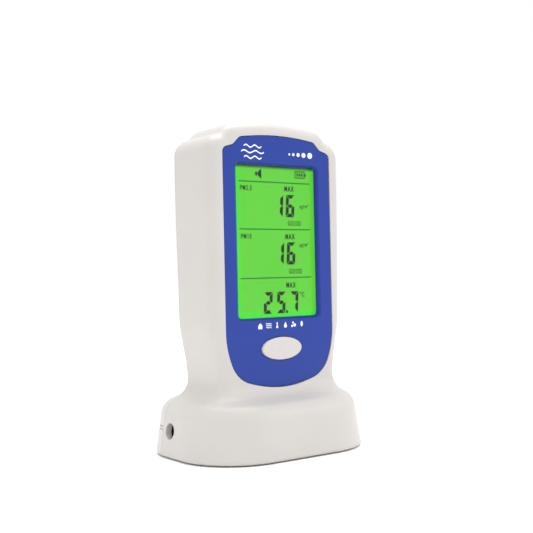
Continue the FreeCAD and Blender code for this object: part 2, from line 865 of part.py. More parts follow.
def screw(head_radius, head_tall, shank_radius, shank_long):
    # head at z 0 and up, shank down, with a cross recess in the head
    shape = Part.makeCylinder(head_radius, head_tall)
    rim = [edge for edge in shape.Edges
           if abs(edge.CenterOfMass.z - head_tall) < 0.01 and len(edge.Vertexes) == 1]
    shape = shape.makeFillet(head_tall * 0.4, rim)
    shank = Part.makeCylinder(shank_radius, shank_long - shank_radius,
                              Vector(0, 0, shank_radius - shank_long))
    tip = Part.makeCone(shank_radius * 0.4, shank_radius, shank_radius, Vector(0, 0, -shank_long))
    shape = shape.multiFuse([shank, tip])
    arm = head_radius * 0.55
    thick = head_radius * 0.11
    deep = head_tall * 0.6
    cross = block((-arm, -thick, head_tall - deep), (arm, thick, head_tall + 1))
    cross = cross.fuse(block((-thick, -arm, head_tall - deep), (thick, arm, head_tall + 1)))
    return shape.cut(cross).removeSplitter()


def screw_set(label, form, spots, direction):
    # one solid for each spot, with the heads pointing along direction
    turn = FreeCAD.Rotation(Vector(0, 0, 1), Vector(*direction))
    placed = []
    for spot in spots:
        one = form.copy()
        one.Placement = FreeCAD.Placement(Vector(*spot), turn)
        placed.append(one)
    node(label, solid(label, Part.makeCompound(placed)))


def small_screw(length):
    return screw(value("small_head_radius"), value("small_head_tall"), small_shank(), length)


def screws():
    case_form = screw(value("case_head_radius"), value("case_head_tall"), case_shank(),
                      value("case_screw_long"))
    head_y = value("back_y") - value("head_sink")
    screw_set("case_screws", case_form, [(x, head_y, z) for x, z in case_screw_points()], (0, 1, 0))
    small_form = small_screw(value("small_screw_long"))
    board_spots = [(x, value("board_back"), z) for x, z in board_screw_points()]
    screw_set("board_screws", small_form, board_spots, (0, 1, 0))
    cover_head = value("cover_low") + value("small_head_tall") + 0.2
    base_spots = [(x, y, cover_head) for side in (-1, 1) for x, y in base_screw_points(side)]
    screw_set("base_screws", small_form, base_spots, (0, 0, -1))
    ear_front = value("sensor_back") - value("ear_thick")
    short_form = small_screw(value("short_screw_long"))
    screw_set("sensor_screws", short_form, [(x, ear_front, z) for x, z in sensor_screw_points()], (0, -1, 0))


def sensor():
    wide = value("sensor_width")
    low = value("sensor_low")
    top = value("sensor_top")
    back = value("sensor_back")
    thin = value("sensor_wall")
    lid_back = value("sensor_front") + value("lid_thick")
    fan_x = value("fan_side")
    fan_z = value("fan_level")
    well = value("fan_radius") + value("fan_play")
    case = block((-wide / 2, lid_back, low), (wide / 2, back, top))
    room = block((-wide / 2 + thin, lid_back - 1, low + thin), (wide / 2 - thin, back - thin, top - thin))
    case = case.cut(room)
    ring = cylinder((fan_x, lid_back, fan_z), (0, 1, 0), well + 0.75 * thin, back - lid_back)
    ring = ring.common(block((-wide / 2, lid_back, low), (wide / 2, back, top)))
    case = case.fuse(ring).cut(cylinder((fan_x, lid_back - 1, fan_z), (0, 1, 0), well,
                                        back - thin - lid_back + 1))
    vent = cylinder((fan_x, back - thin - 1, fan_z), (0, 1, 0), well - 0.8, thin + 2)
    hub = cylinder((fan_x, back - thin - 2, fan_z), (0, 1, 0), value("fan_hub_radius") + 0.2, thin + 4)
    spokes = [hub]
    half_spoke = value("spoke_wide") / 2
    for index in range(3):
        arm = block((fan_x - half_spoke, back - thin - 2, fan_z),
                    (fan_x + half_spoke, back + 2, fan_z + well))
        arm.rotate(Vector(fan_x, 0, fan_z), Vector(0, 1, 0), 120 * index)
        spokes.append(arm)
    vent = vent.cut(spokes[0].multiFuse(spokes[1:]))
    intake_half = value("intake_wide") / 2
    intake_low = low + value("intake_rise")
    intake = block((-intake_half, back - thin - 1, intake_low),
                   (intake_half, back + 1, intake_low + value("intake_tall")))
    ears = []
    pilot = []
    for x, z in sensor_screw_points():
        toward = low + 1 if z < low else top - 1
        ear = value("small_boss_radius")
        ear_front = back - value("ear_thick")
        ears.append(cylinder((x, ear_front, z), (0, 1, 0), ear, value("ear_thick")))
        ears.append(block((x - ear, ear_front, min(z, toward)), (x + ear, back, max(z, toward))))
        pilot.append(cylinder((x, back - 3, z), (0, 1, 0), value("small_screw_radius") + 0.15, 6))
    case = case.multiFuse(ears).cut(vent.multiFuse([intake] + pilot)).removeSplitter()
    case = case.cut(cylinder((fan_x, back - thin, fan_z), (0, 1, 0), value("shaft_radius"), thin - 0.3))
    node("sensor_case", solid("sensor_case", case))
    node("sensor_lid", middle_box(0, "sensor_front", "sensor_low", "sensor_width", "lid_thick",
                                  "sensor_tall"))
    node("sensor_board", middle_box(0, "sensor_front + sensor_board_place", "sensor_low + sensor_wall + 0.3",
                                    "sensor_width - 2 * sensor_wall - 0.6", "sensor_board_thick",
                                    "sensor_board_tall"))
    chamber = cut(middle_box(0, "sensor_front + chamber_place", "sensor_low + chamber_rise",
                             "chamber_wide", "chamber_deep", "chamber_tall"),
                  middle_box(0, "sensor_front + chamber_place + chamber_wall",
                             "sensor_low + chamber_rise + tunnel_border", "chamber_wide + 4",
                             "chamber_deep - 2 * chamber_wall", "chamber_tall - 2 * tunnel_border"))
    node("optic_chamber", chamber)
    node("laser_diode", rod("X", "-sensor_width / 2 + sensor_wall + 1",
                            "sensor_front + chamber_place + chamber_deep / 2",
                            "sensor_low + chamber_rise + chamber_tall / 2", "laser_radius", "laser_long"))
    node("fan_shaft", rod("Y", "fan_side", "sensor_front + 1.6", "fan_level", "shaft_radius",
                          "sensor_deep - 1.6 - 0.3"))
    coil = cut(rod("Y", "fan_side", "sensor_back - sensor_wall - fan_clear", "fan_level", "coil_radius",
                   "fan_clear"),
               rod("Y", "fan_side", "sensor_front", "fan_level", "shaft_radius", "sensor_deep"))
    node("fan_coil", coil)


def fan_rotor():
    x = value("fan_side")
    z = value("fan_level")
    back = value("fan_back")
    front = back - value("fan_deep")
    rotor = cylinder((x, front, z), (0, 1, 0), value("fan_hub_radius"), value("fan_deep"))
    blades = []
    count = int(value("blade_count"))
    thick = value("blade_thick")
    for index in range(count):
        blade = block((x - thick / 2, front, z + value("fan_hub_radius") - 1),
                      (x + thick / 2, back - 0.5, z + value("fan_radius")))
        blade.rotate(Vector(x, 0, z + value("fan_hub_radius")), Vector(0, 1, 0), value("blade_lean"))
        blade.rotate(Vector(x, 0, z), Vector(0, 1, 0), 360 / count * index)
        blades.append(blade)
    limit = cylinder((x, front, z), (0, 1, 0), value("fan_radius"), value("fan_deep"))
    rotor = rotor.multiFuse(blades).common(limit)
    bore = cylinder((x, front - 1, z), (0, 1, 0), value("shaft_radius") + value("running_gap"),
                    value("fan_deep") + 2)
    node("fan_rotor", solid("fan_rotor", rotor.cut(bore).removeSplitter()))


def sensor_gasket():
    outside = [
        rod("Y", "fan_side", "sensor_back", "fan_level", "fan_radius + gasket_border", "gasket_thick"),
        middle_box(0, "sensor_back", "sensor_low + intake_rise - gasket_border",
                   "intake_wide + 2 * gasket_border", "gasket_thick", "intake_tall + 2 * gasket_border"),
    ]
    inside = [
        rod("Y", "fan_side", "sensor_back - 1", "fan_level", "fan_radius", "gasket_thick + 2"),
        middle_box(0, "sensor_back - 1", "sensor_low + intake_rise", "intake_wide", "gasket_thick + 2",
                   "intake_tall"),
    ]
    node("sensor_gaskets", group(*[cut(outer, inner) for outer, inner in zip(outside, inside)]))


def intake_mesh():
    low = "board_low + lower_slot_rise - slot_wide / 2 - mesh_border"
    tall = "(inlet_slots - 1) * slot_pitch + slot_wide + 2 * mesh_border"
    wide = "slot_long + 2 * mesh_border"
    node("vent_mesh", middle_box(0, "back_inner - mesh_thick", low, wide, "mesh_thick", tall))


def base_cover():
    low = value("cover_low")
    thick = value("cover_thick")
    play = value("base_wall") + value("plate_play")
    cover = Part.makeLoft([base_section(low, play), base_section(low + thick, play)], True, True)
    top = value("cover_top")
    cell_x = value("cell_place")
    gap = value("rib_gap")
    half_long = value("cell_long") / 2 + gap
    half_wide = value("cell_wide") / 2 + gap
    rib = value("rib_thick")
    rib_top = top + value("rib_tall")
    root = top - 0.5
    ribs = []
    for side_x in (-1, 1):
        for side_y in (-1, 1):
            corner_x = cell_x + side_x * half_long
            corner_y = side_y * half_wide
            along = sorted((corner_x + side_x * rib, corner_x - side_x * 9))
            across = sorted((corner_y, corner_y + side_y * rib))
            ribs.append(block((along[0], across[0], root), (along[1], across[1], rib_top)))
            ends = sorted((corner_x, corner_x + side_x * rib))
            across = sorted((corner_y + side_y * rib, corner_y - side_y * 5))
            ribs.append(block((ends[0], across[0], root), (ends[1], across[1], rib_top)))
    for x, y in charge_screw_points():
        ribs.append(cylinder((x, y, root), (0, 0, 1), value("small_boss_radius"), value("charge_low") - root))
    cover = cover.multiFuse(ribs)
    tools = []
    for side in (-1, 1):
        for x, y in base_screw_points(side):
            tools.append(cylinder((x, y, low - 1), (0, 0, 1), value("small_screw_radius") + 0.15, 10))
            tools.append(cylinder((x, y, low - 1), (0, 0, 1), value("small_head_radius") + 0.2,
                                  value("small_head_tall") + 1.2))
    for x, y in foot_points():
        tools.append(cylinder((x, y, low - 1), (0, 0, 1), value("foot_radius") + 0.1, value("foot_sunk") + 1))
    for x, y in charge_screw_points():
        tools.append(cylinder((x, y, low + 0.4), (0, 0, 1), small_shank(), 10))
    node("base_cover", solid("base_cover", cover.cut(tools[0].multiFuse(tools[1:])).removeSplitter()))


def foot_points():
    across = value("foot_across") / 2
    deep = value("foot_deep") / 2
    return [(side_x * across, side_y * deep) for side_x in (-1, 1) for side_y in (-1, 1)]


def rubber_feet():
    feet = []
    tall = value("cover_low") + value("foot_sunk")
    for x, y in foot_points():
        foot = cylinder((x, y, 0), (0, 0, 1), value("foot_radius"), tall)
        rim = [edge for edge in foot.Edges if abs(edge.CenterOfMass.z) < 0.01 and len(edge.Vertexes) == 1]
        feet.append(foot.makeFillet(value("foot_round"), rim))
    node("rubber_feet", solid("rubber_feet", Part.makeCompound(feet)))


def battery():
    node("battery_foam", middle_box("cell_place", "-cell_wide / 2 + foam_edge", "cover_top",
                                    "cell_long - 2 * foam_edge", "cell_wide - 2 * foam_edge", "foam_thick"))
    cell = doc.addObject("Part::Fillet", "cell")
    cell.Base = middle_box("cell_place", "-cell_wide / 2", "cell_low", "cell_long", "cell_wide", "cell_thick")
    doc.recompute()
    long_edges = [index + 1 for index, edge in enumerate(cell.Base.Shape.Edges)
                  if abs(edge.tangentAt(edge.FirstParameter).x) > 0.9]
    cell.Edges = [(index, value("cell_round"), value("cell_round")) for index in long_edges]
    node("battery_cell", cell)
    node("cell_board", middle_box("cell_place - cell_long / 2 + cell_board_edge",
                                  "-cell_wide / 2 + cell_board_edge", "cell_low + cell_thick",
                                  "cell_board_wide", "cell_wide - 2 * cell_board_edge", "cell_board_thick"))


def charge_board_edges():
    # the left and right edges of the board under the charging socket
    left = value("socket_face") + value("charge_inset")
    return left, left + value("charge_long")


def charge_screw_points():
    left, right = charge_board_edges()
    across = (left + right) / 2 + 1.5
    middle = value("socket_place") + value("charge_side")
    half = value("charge_screw_across") / 2
    return [(across, middle - half), (across, middle + half)]


def charge_board():
    left, right = charge_board_edges()
    middle = value("socket_place") + value("charge_side")
    half = value("charge_screw_across") / 2 + value("small_boss_radius") + 0.4
    board = block((left, middle - half, value("charge_low")), (right, middle + half, value("charge_top")))
    for x, y in charge_screw_points():
        board = board.cut(cylinder((x, y, value("charge_low") - 1), (0, 0, 1),
                                   value("small_screw_radius") + 0.2, 5))
    node("charge_board", solid("charge_board", board))
    spots = [(x, y, value("charge_top")) for x, y in charge_screw_points()]
    screw_set("charge_screws", small_screw(value("short_screw_long")), spots, (0, 0, 1))
    node("charge_chip", box("socket_face + 10.5", "socket_place - socket_wide / 2 - 3.4", "charge_top",
                            4, 3, 1.2))


def charging_socket():
    body = box("socket_face", "socket_place - socket_wide / 2", "charge_top", "socket_long", "socket_wide",
               "socket_tall")
    bore = rod("X", "socket_face - 1", "socket_place", "socket_level", "socket_bore / 2",
               "1 + socket_deep")
    node("socket_body", cut(body, bore))
    node("socket_pin", rod("X", "socket_face + pin_recess", "socket_place", "socket_level", "socket_pin / 2",
                           "socket_deep - pin_recess"))


def lead_pair(label, corners, step):
    # two leads side by side, each a tube along straight runs and arcs
    tubes = []
    for index in range(2):
        shifted = [Vector(*corner) + Vector(*step) * index for corner in corners]
        inner = [(point, value("lead_bend")) for point in shifted[1:-1]]
        path = rounded_edges([(shifted[0], 0.0)] + inner + [(shifted[-1], 0.0)], False)
        ring = Part.Wire(Part.Circle(shifted[0], shifted[1] - shifted[0], value("lead_radius")).toShape())
        tubes.append(path.makePipeShell([ring], True, True))
    node(label, solid(label, Part.makeCompound(tubes)))


def leads():
    pitch = value("lead_pitch")
    mouth = value("board_back") + value("plug_deep")
    half_plug = value("plug_tall") / 2
    power_level = value("board_low") + value("power_plug_rise") + half_plug
    signal_level = value("board_low") + value("signal_plug_rise") + half_plug
    across = value("plug_place") - pitch / 2
    out = mouth + value("lead_out")
    board_edge = charge_board_edges()[1]
    start_x = board_edge - pitch - 1.5 * value("lead_radius")
    start_y = value("socket_place") - value("charge_screw_across") / 2
    start = value("charge_top")
    power = [(start_x, start_y, start), (start_x, start_y, start + 8), (start_x + 8, out, start + 20),
             (across, out, power_level), (across, mouth, power_level)]
    lead_pair("power_leads", power, (pitch, 0, 0))
    signal = [(across, mouth, signal_level), (across, out, signal_level), (across, out, value("sensor_low"))]
    lead_pair("sensor_leads", signal, (pitch, 0, 0))
    cell_edge = value("cell_place") - value("cell_long") / 2
    cell_end = cell_edge + value("cell_board_edge") - value("cell_board_wide") / 2
    over = value("cell_low") + value("cell_thick") + value("lead_radius") + 0.1
    down = board_edge - 1.5
    beside = value("battery_lead_place")
    battery_run = [(cell_end, beside, over), (down, beside, over), (down, beside, start)]
    lead_pair("battery_leads", battery_run, (0, pitch, 0))


housing()
face_plate()
display()
button()
main_board()
sensor()
fan_rotor()
sensor_gasket()
intake_mesh()
base_cover()
rubber_feet()
battery()
charge_board()
charging_socket()
leads()
screws()
doc.recompute()

for item in doc.Objects:
    for fault in ("Invalid", "Error"):
        if fault in item.State:
            raise RuntimeError(item.Label + " failed: " + fault)
for label, item in nodes.items():
    if item.Shape.isNull() or not item.Shape.isValid():
        raise RuntimeError(label + " has no valid shape")

os.makedirs("parts", exist_ok=True)
for label, item in nodes.items():
    item.Shape.exportStep(os.path.join("parts", label + ".step"))
    shape = item.Shape
    print(label, len(shape.Solids), round(shape.Volume, 1), shape.BoundBox)
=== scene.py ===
import bpy, bmesh, math
from mathutils import Matrix, Vector
from mathutils.bvhtree import BVHTree


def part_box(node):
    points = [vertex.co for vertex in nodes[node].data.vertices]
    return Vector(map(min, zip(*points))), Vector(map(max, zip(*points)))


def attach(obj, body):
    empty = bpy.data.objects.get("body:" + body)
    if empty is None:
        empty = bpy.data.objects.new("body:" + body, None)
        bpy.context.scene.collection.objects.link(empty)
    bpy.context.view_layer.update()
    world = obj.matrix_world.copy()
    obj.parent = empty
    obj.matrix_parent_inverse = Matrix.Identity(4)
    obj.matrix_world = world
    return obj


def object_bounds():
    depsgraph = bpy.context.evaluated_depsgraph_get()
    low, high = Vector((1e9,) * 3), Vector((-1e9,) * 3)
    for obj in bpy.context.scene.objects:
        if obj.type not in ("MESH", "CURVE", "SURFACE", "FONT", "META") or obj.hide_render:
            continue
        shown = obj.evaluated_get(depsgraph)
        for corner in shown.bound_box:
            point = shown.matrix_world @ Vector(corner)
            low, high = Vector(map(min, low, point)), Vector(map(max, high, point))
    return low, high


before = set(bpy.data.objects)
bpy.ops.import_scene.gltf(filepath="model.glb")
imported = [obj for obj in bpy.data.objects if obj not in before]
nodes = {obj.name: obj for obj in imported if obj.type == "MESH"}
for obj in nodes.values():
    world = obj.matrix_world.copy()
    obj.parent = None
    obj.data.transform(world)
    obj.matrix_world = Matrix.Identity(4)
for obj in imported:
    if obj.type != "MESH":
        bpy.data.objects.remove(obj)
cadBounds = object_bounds()
mm = 0.001
print("frame loaded:", len(nodes), "nodes")


def hexColour(text):
    # sRGB hex to the linear values that the shader sockets take
    channels = [int(text[i:i + 2], 16) / 255 for i in (1, 3, 5)]
    return tuple(c / 12.92 if c <= 0.04045 else ((c + 0.055) / 1.055) ** 2.4 for c in channels) + (1.0,)


def addNode(tree, kind, inputs=None, **settings):
    # one node, its settings, and its inputs: a value is set, a socket is linked
    made = tree.nodes.new(kind)
    for key, setting in settings.items():
        setattr(made, key, setting)
    for key, wanted in (inputs or {}).items():
        if isinstance(wanted, bpy.types.NodeSocket):
            tree.links.new(wanted, made.inputs[key])
        else:
            made.inputs[key].default_value = wanted
    return made


def newMaterial(name, colour, **sockets):
    # a principled material with its plain values set on the shader's own sockets
    material = bpy.data.materials.new(name)
    material.use_nodes = True
    material.node_tree.nodes.clear()
    tree = material.node_tree
    shader = addNode(tree, "ShaderNodeBsdfPrincipled", {"Base Color": hexColour(colour)})
    for key, setting in sockets.items():
        shader.inputs[key.replace("_", " ")].default_value = setting
    addNode(tree, "ShaderNodeOutputMaterial", {"Surface": shader.outputs[0]})
    place = addNode(tree, "ShaderNodeTexCoord").outputs["Object"]
    return material, tree, shader, place


def grainOf(tree, place, sizeMm, detail=2.0, rough=0.5):
    # noise whose lumps are about sizeMm across
    return addNode(tree, "ShaderNodeTexNoise", {"Vector": place, "Scale": 1 / (sizeMm * mm),
                                                "Detail": detail, "Roughness": rough})


def spreadOf(tree, source, low, high):
    # maps 0..1 of a pattern to a range
    return addNode(tree, "ShaderNodeMapRange", {0: source, 3: low, 4: high}).outputs[0]


def bumpOn(tree, shader, height, depthMm):
    # relief depthMm deep from a pattern of 0..1
    made = addNode(tree, "ShaderNodeBump", {"Height": height, "Strength": 1.0, "Distance": depthMm * mm})
    tree.links.new(made.outputs[0], shader.inputs["Normal"])


def mixOf(tree, share, first, second):
    # a colour between two others; sockets 6 and 7 are the colour inputs and 2 is the colour output
    made = addNode(tree, "ShaderNodeMix", {0: share, 6: first, 7: second}, data_type="RGBA")
    return made.outputs[2]


wallDriftMm = 22.0


def mouldedPlastic(name, colour, tint, grainMm, grainDepthMm, roughLow, roughHigh):
    # injection-moulded plastic from a fine spark-eroded tool: a faint even grain that softens
    # the highlights, and a slight drift of tone across the wall
    material, tree, shader, place = newMaterial(name, colour)
    drift = grainOf(tree, place, wallDriftMm, 1.0)
    tone = mixOf(tree, drift.outputs[0], hexColour(colour), hexColour(tint))
    tree.links.new(tone, shader.inputs["Base Color"])
    fine = grainOf(tree, place, grainMm, 3.0)
    tree.links.new(spreadOf(tree, fine.outputs[0], roughLow, roughHigh), shader.inputs["Roughness"])
    bumpOn(tree, shader, fine.outputs[0], grainDepthMm)
    return material


housingAbs = mouldedPlastic("moulded_abs_warm_white", "#C8C4C0", "#C3BFBB", 0.45, 0.012, 0.34, 0.46)
buttonAbs = mouldedPlastic("polished_abs_white", "#CDC8C6", "#C8C3C1", 0.8, 0.003, 0.24, 0.32)
blackAbs = mouldedPlastic("moulded_abs_black", "#1B1B1D", "#212123", 0.4, 0.02, 0.38, 0.52)
whiteNylon = mouldedPlastic("moulded_nylon_natural", "#E4E2DA", "#DAD8CF", 0.5, 0.015, 0.4, 0.5)
footRubber = mouldedPlastic("moulded_rubber_black", "#242425", "#2C2C2D", 0.5, 0.03, 0.7, 0.85)
foamSheet = mouldedPlastic("closed_cell_foam_grey", "#3A3B3E", "#2E2F31", 0.6, 0.12, 0.85, 0.95)


plateLook = {
    "face": "#213C96", "drift": "#1E3890", "deep": "#0B2788",
    # painted shade: a darker blue laid into the window's recess, between the two depths given after it
    "grainMm": 0.4, "grainDepthMm": 0.012, "deepFrom": 0.15 * mm, "deepTo": 0.9 * mm,
    "roughLow": 0.32, "roughHigh": 0.44,
}


def plateAbsBlue():
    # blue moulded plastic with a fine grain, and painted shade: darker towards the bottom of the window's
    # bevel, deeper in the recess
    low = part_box("face_plate")[0]
    material, tree, shader, place = newMaterial("moulded_abs_blue", plateLook["face"])
    shader.inputs["Specular IOR Level"].default_value = 0.3
    drift = grainOf(tree, place, wallDriftMm, 1.0)
    tone = mixOf(tree, drift.outputs[0], hexColour(plateLook["face"]), hexColour(plateLook["drift"]))
    axes = addNode(tree, "ShaderNodeSeparateXYZ", {0: place})
    # painted shade: the blue turns darker from 0.15 to 0.9 mm behind the plate's front, down the window's
    # recess
    inside = addNode(tree, "ShaderNodeMapRange", {0: axes.outputs[1], 1: low.y + plateLook["deepFrom"],
                                                  2: low.y + plateLook["deepTo"]}).outputs[0]
    tree.links.new(mixOf(tree, inside, tone, hexColour(plateLook["deep"])), shader.inputs["Base Color"])
    fine = grainOf(tree, place, plateLook["grainMm"], 3.0)
    gloss = spreadOf(tree, fine.outputs[0], plateLook["roughLow"], plateLook["roughHigh"])
    tree.links.new(gloss, shader.inputs["Roughness"])
    bumpOn(tree, shader, fine.outputs[0], plateLook["grainDepthMm"])
    return material


plateAbs = plateAbsBlue()


def platedSteel():
    # zinc-plated steel: bright, with a fine grain and cloudy plating
    material, tree, shader, place = newMaterial("zinc_plated_steel", "#B9BCC0", Metallic=1.0)
    cloud = grainOf(tree, place, 1.2, 3.0)
    tree.links.new(spreadOf(tree, cloud.outputs[0], 0.22, 0.42), shader.inputs["Roughness"])
    tone = mixOf(tree, cloud.outputs[0], hexColour("#AEB1B6"), hexColour("#C9CBCE"))
    tree.links.new(tone, shader.inputs["Base Color"])
    bumpOn(tree, shader, grainOf(tree, place, 0.3).outputs[0], 0.006)
    return material


def turnedBrass():
    # turned brass barrel: fine rings from the tool
    material, tree, shader, place = newMaterial("turned_brass", "#C9A65A", Metallic=1.0)
    rings = addNode(tree, "ShaderNodeTexWave", {"Vector": place, "Scale": 1 / (6.0 * mm), "Distortion": 0.4},
                    bands_direction="X")
    tree.links.new(spreadOf(tree, rings.outputs[1], 0.2, 0.34), shader.inputs["Roughness"])
    bumpOn(tree, shader, rings.outputs[1], 0.01)
    return material


def solderMask():
    # green solder mask over copper: tracks stand up slightly under the lacquer
    material, tree, shader, place = newMaterial("solder_mask_green", "#1E6A3A", Roughness=0.35,
                                                Coat_Weight=0.4, Coat_Roughness=0.15)
    tracks = addNode(tree, "ShaderNodeTexBrick", {"Vector": place, "Scale": 1 / (9.0 * mm),
                                                  "Mortar Size": 0.03, "Brick Width": 0.7,
                                                  "Row Height": 0.22})
    tone = mixOf(tree, tracks.outputs["Fac"], hexColour("#1C6236"), hexColour("#2C8148"))
    tree.links.new(tone, shader.inputs["Base Color"])
    bumpOn(tree, shader, tracks.outputs["Fac"], 0.03)
    return material


def coilWinding():
    # enamelled copper wire wound in close turns
    material, tree, shader, place = newMaterial("enamelled_copper_wire", "#B8703C", Metallic=0.8,
                                                Coat_Weight=0.6)
    turns = addNode(tree, "ShaderNodeTexWave", {"Vector": place, "Scale": 1 / (2.0 * mm)},
                    bands_direction="Y")
    tree.links.new(spreadOf(tree, turns.outputs[1], 0.25, 0.45), shader.inputs["Roughness"])
    bumpOn(tree, shader, turns.outputs[1], 0.08)
    return material


def dustMesh():
    # woven dust mesh: black threads 0.5 mm apart, drawn coarser than the real 0.2 mm so that they show
    material, tree, shader, place = newMaterial("woven_dust_mesh", "#26272A", Roughness=0.75)
    threadMm = 0.5
    threads = []
    for direction in ("X", "Z"):
        wave = addNode(tree, "ShaderNodeTexWave", {"Vector": place, "Scale": 1 / (threadMm * mm) / 3.2},
                       bands_direction=direction)
        threads.append(wave.outputs[1])
    crossing = addNode(tree, "ShaderNodeMath", {0: threads[0], 1: threads[1]}, operation="MAXIMUM").outputs[0]
    tone = mixOf(tree, crossing, hexColour("#0E0E10"), hexColour("#3C3D41"))
    tree.links.new(tone, shader.inputs["Base Color"])
    bumpOn(tree, shader, crossing, 0.12)
    return material


def cellFilm():
    # heat-shrunk film over the foil pouch: small creases and a soft gloss
    material, tree, shader, place = newMaterial("shrink_film_silver", "#8D99A8", Metallic=0.35)
    creases = grainOf(tree, place, 5.0, 4.0, 0.65)
    tree.links.new(spreadOf(tree, creases.outputs[0], 0.2, 0.45), shader.inputs["Roughness"])
    bumpOn(tree, shader, creases.outputs[0], 0.25)
    return material


def clearAcrylic():
    # cast acrylic window: clear and glossy
    material, tree, shader, place = newMaterial("cast_acrylic_clear", "#F4FAF5", Roughness=0.02, IOR=1.2,
                                                Transmission_Weight=1.0)
    haze = grainOf(tree, place, 3.0)
    tree.links.new(spreadOf(tree, haze.outputs[0], 0.0, 0.02), shader.inputs["Roughness"])
    return material


def lightGuide():
    # milky light guide behind the display, lit by the lamps at its edge
    material, tree, shader, place = newMaterial("light_guide_acrylic_milky", "#DDEBD9", Roughness=0.5)
    dots = addNode(tree, "ShaderNodeTexVoronoi", {"Vector": place, "Scale": 1 / (1.2 * mm)})
    bumpOn(tree, shader, dots.outputs[0], 0.08)
    return material


windowFrame = {"margin": 1.8 * mm, "topMargin": 4.4 * mm}


def windowBox():
    # the part of the display that shows through the plate
    low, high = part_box("display_lens")
    margin = windowFrame["margin"]
    corner = Vector((low.x + margin, low.y, low.z + margin))
    return corner, Vector((high.x - margin, high.y, high.z - windowFrame["topMargin"]))


displayLook = {
    "middle": "#5CD524", "drift": "#68E032", "driftMm": 30.0, "edge": "#38EE18", "edgeWide": 5 * mm,
    "shade": "#06500C", "shadeFrom": 1.9 * mm, "shadeTo": 0.2 * mm, "strength": 0.92,
}


def litDisplay():
    # backlit liquid crystal glass: an even yellow-green, stronger at the lamp side and the low
    # edge, with a shade under the top of the window
    material, tree, shader, place = newMaterial("lcd_glass_backlit_green", "#0C2A0A", Roughness=0.3)
    axes = addNode(tree, "ShaderNodeSeparateXYZ", {0: place})
    windowLow, windowHigh = windowBox()

    def ramp(source, start, end, startValue, endValue):
        return addNode(tree, "ShaderNodeMapRange", {0: source, 1: start, 2: end, 3: startValue, 4: endValue},
                       interpolation_type="SMOOTHSTEP").outputs[0]

    leftGlow = ramp(axes.outputs[0], windowLow.x, windowLow.x + displayLook["edgeWide"], 1.0, 0.0)
    lowGlow = ramp(axes.outputs[2], windowLow.z, windowLow.z + displayLook["edgeWide"], 1.0, 0.0)
    glow = addNode(tree, "ShaderNodeMath", {0: leftGlow, 1: lowGlow}, operation="MAXIMUM").outputs[0]
    drift = grainOf(tree, place, displayLook["driftMm"], 1.0)
    middle = mixOf(tree, drift.outputs[0], hexColour(displayLook["middle"]), hexColour(displayLook["drift"]))
    lit = mixOf(tree, glow, middle, hexColour(displayLook["edge"]))
    shade = ramp(axes.outputs[2], windowHigh.z - displayLook["shadeFrom"],
                 windowHigh.z - displayLook["shadeTo"], 0.0, 1.0)
    lit = mixOf(tree, shade, lit, hexColour(displayLook["shade"]))
    tree.links.new(lit, shader.inputs["Emission Color"])
    shader.inputs["Emission Strength"].default_value = displayLook["strength"]
    return material


def plainInk(name, colour, roughness, emission=0.0):
    # a printed or switched layer, with a slight unevenness in its gloss
    material, tree, shader, place = newMaterial(name, colour)
    patches = grainOf(tree, place, 0.8)
    gloss = spreadOf(tree, patches.outputs[0], roughness - 0.05, roughness + 0.05)
    tree.links.new(gloss, shader.inputs["Roughness"])
    if emission:
        shader.inputs["Emission Color"].default_value = hexColour(colour)
        shader.inputs["Emission Strength"].default_value = emission
    return material


finishes = {
    "front_shell": housingAbs, "back_shell": housingAbs, "base_cover": housingAbs,
    "face_plate": plateAbs, "button_cap": buttonAbs,
    "display_lens": clearAcrylic(), "lcd_glass": litDisplay(), "backlight_panel": lightGuide(),
    "contact_strip": footRubber, "display_frame": whiteNylon, "rubber_feet": footRubber,
    "battery_foam": foamSheet, "sensor_gaskets": foamSheet, "battery_cell": cellFilm(),
    "vent_mesh": dustMesh(), "fan_coil": coilWinding(), "laser_diode": turnedBrass(),
    "board_sockets": whiteNylon, "climate_sensor": whiteNylon,
}
steel = platedSteel()
mask = solderMask()
leadSilicone = mouldedPlastic("silicone_lead_red", "#A02A22", "#8E241D", 0.6, 0.01, 0.45, 0.55)
for name in ("power_leads", "sensor_leads", "battery_leads"):
    finishes[name] = leadSilicone
for name in ("case_screws", "board_screws", "base_screws", "charge_screws", "sensor_screws", "fan_shaft",
             "socket_pin", "sensor_lid"):
    finishes[name] = steel
for name in ("main_board", "sensor_board", "charge_board", "cell_board"):
    finishes[name] = mask
for name, item in nodes.items():
    item.data.materials.clear()
    item.data.materials.append(finishes.get(name, blackAbs))
print("materials on the frame's nodes")


def flatPiece(name, outlines, surfaceY, thick, material, body):
    # closed flat shapes in the XZ plane, standing forward of surfaceY by thick
    mesh = bpy.data.meshes.new(name)
    shape = bmesh.new()
    for outline in outlines:
        front = [shape.verts.new((x, surfaceY - thick, z)) for x, z in outline]
        back = [shape.verts.new((x, surfaceY, z)) for x, z in outline]
        shape.faces.new(front)
        shape.faces.new(back[::-1])
        count = len(outline)
        for i in range(count):
            j = (i + 1) % count
            shape.faces.new((front[j], front[i], back[i], back[j]))
    bmesh.ops.recalc_face_normals(shape, faces=shape.faces)
    shape.to_mesh(mesh)
    shape.free()
    return finishPiece(name, mesh, material, body)


def finishPiece(name, mesh, material, body):
    # the object of a finished mesh, with its material and its body
    piece = bpy.data.objects.new(name, mesh)
    bpy.context.scene.collection.objects.link(piece)
    mesh.materials.clear()
    mesh.materials.append(material)
    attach(piece, body)
    return piece


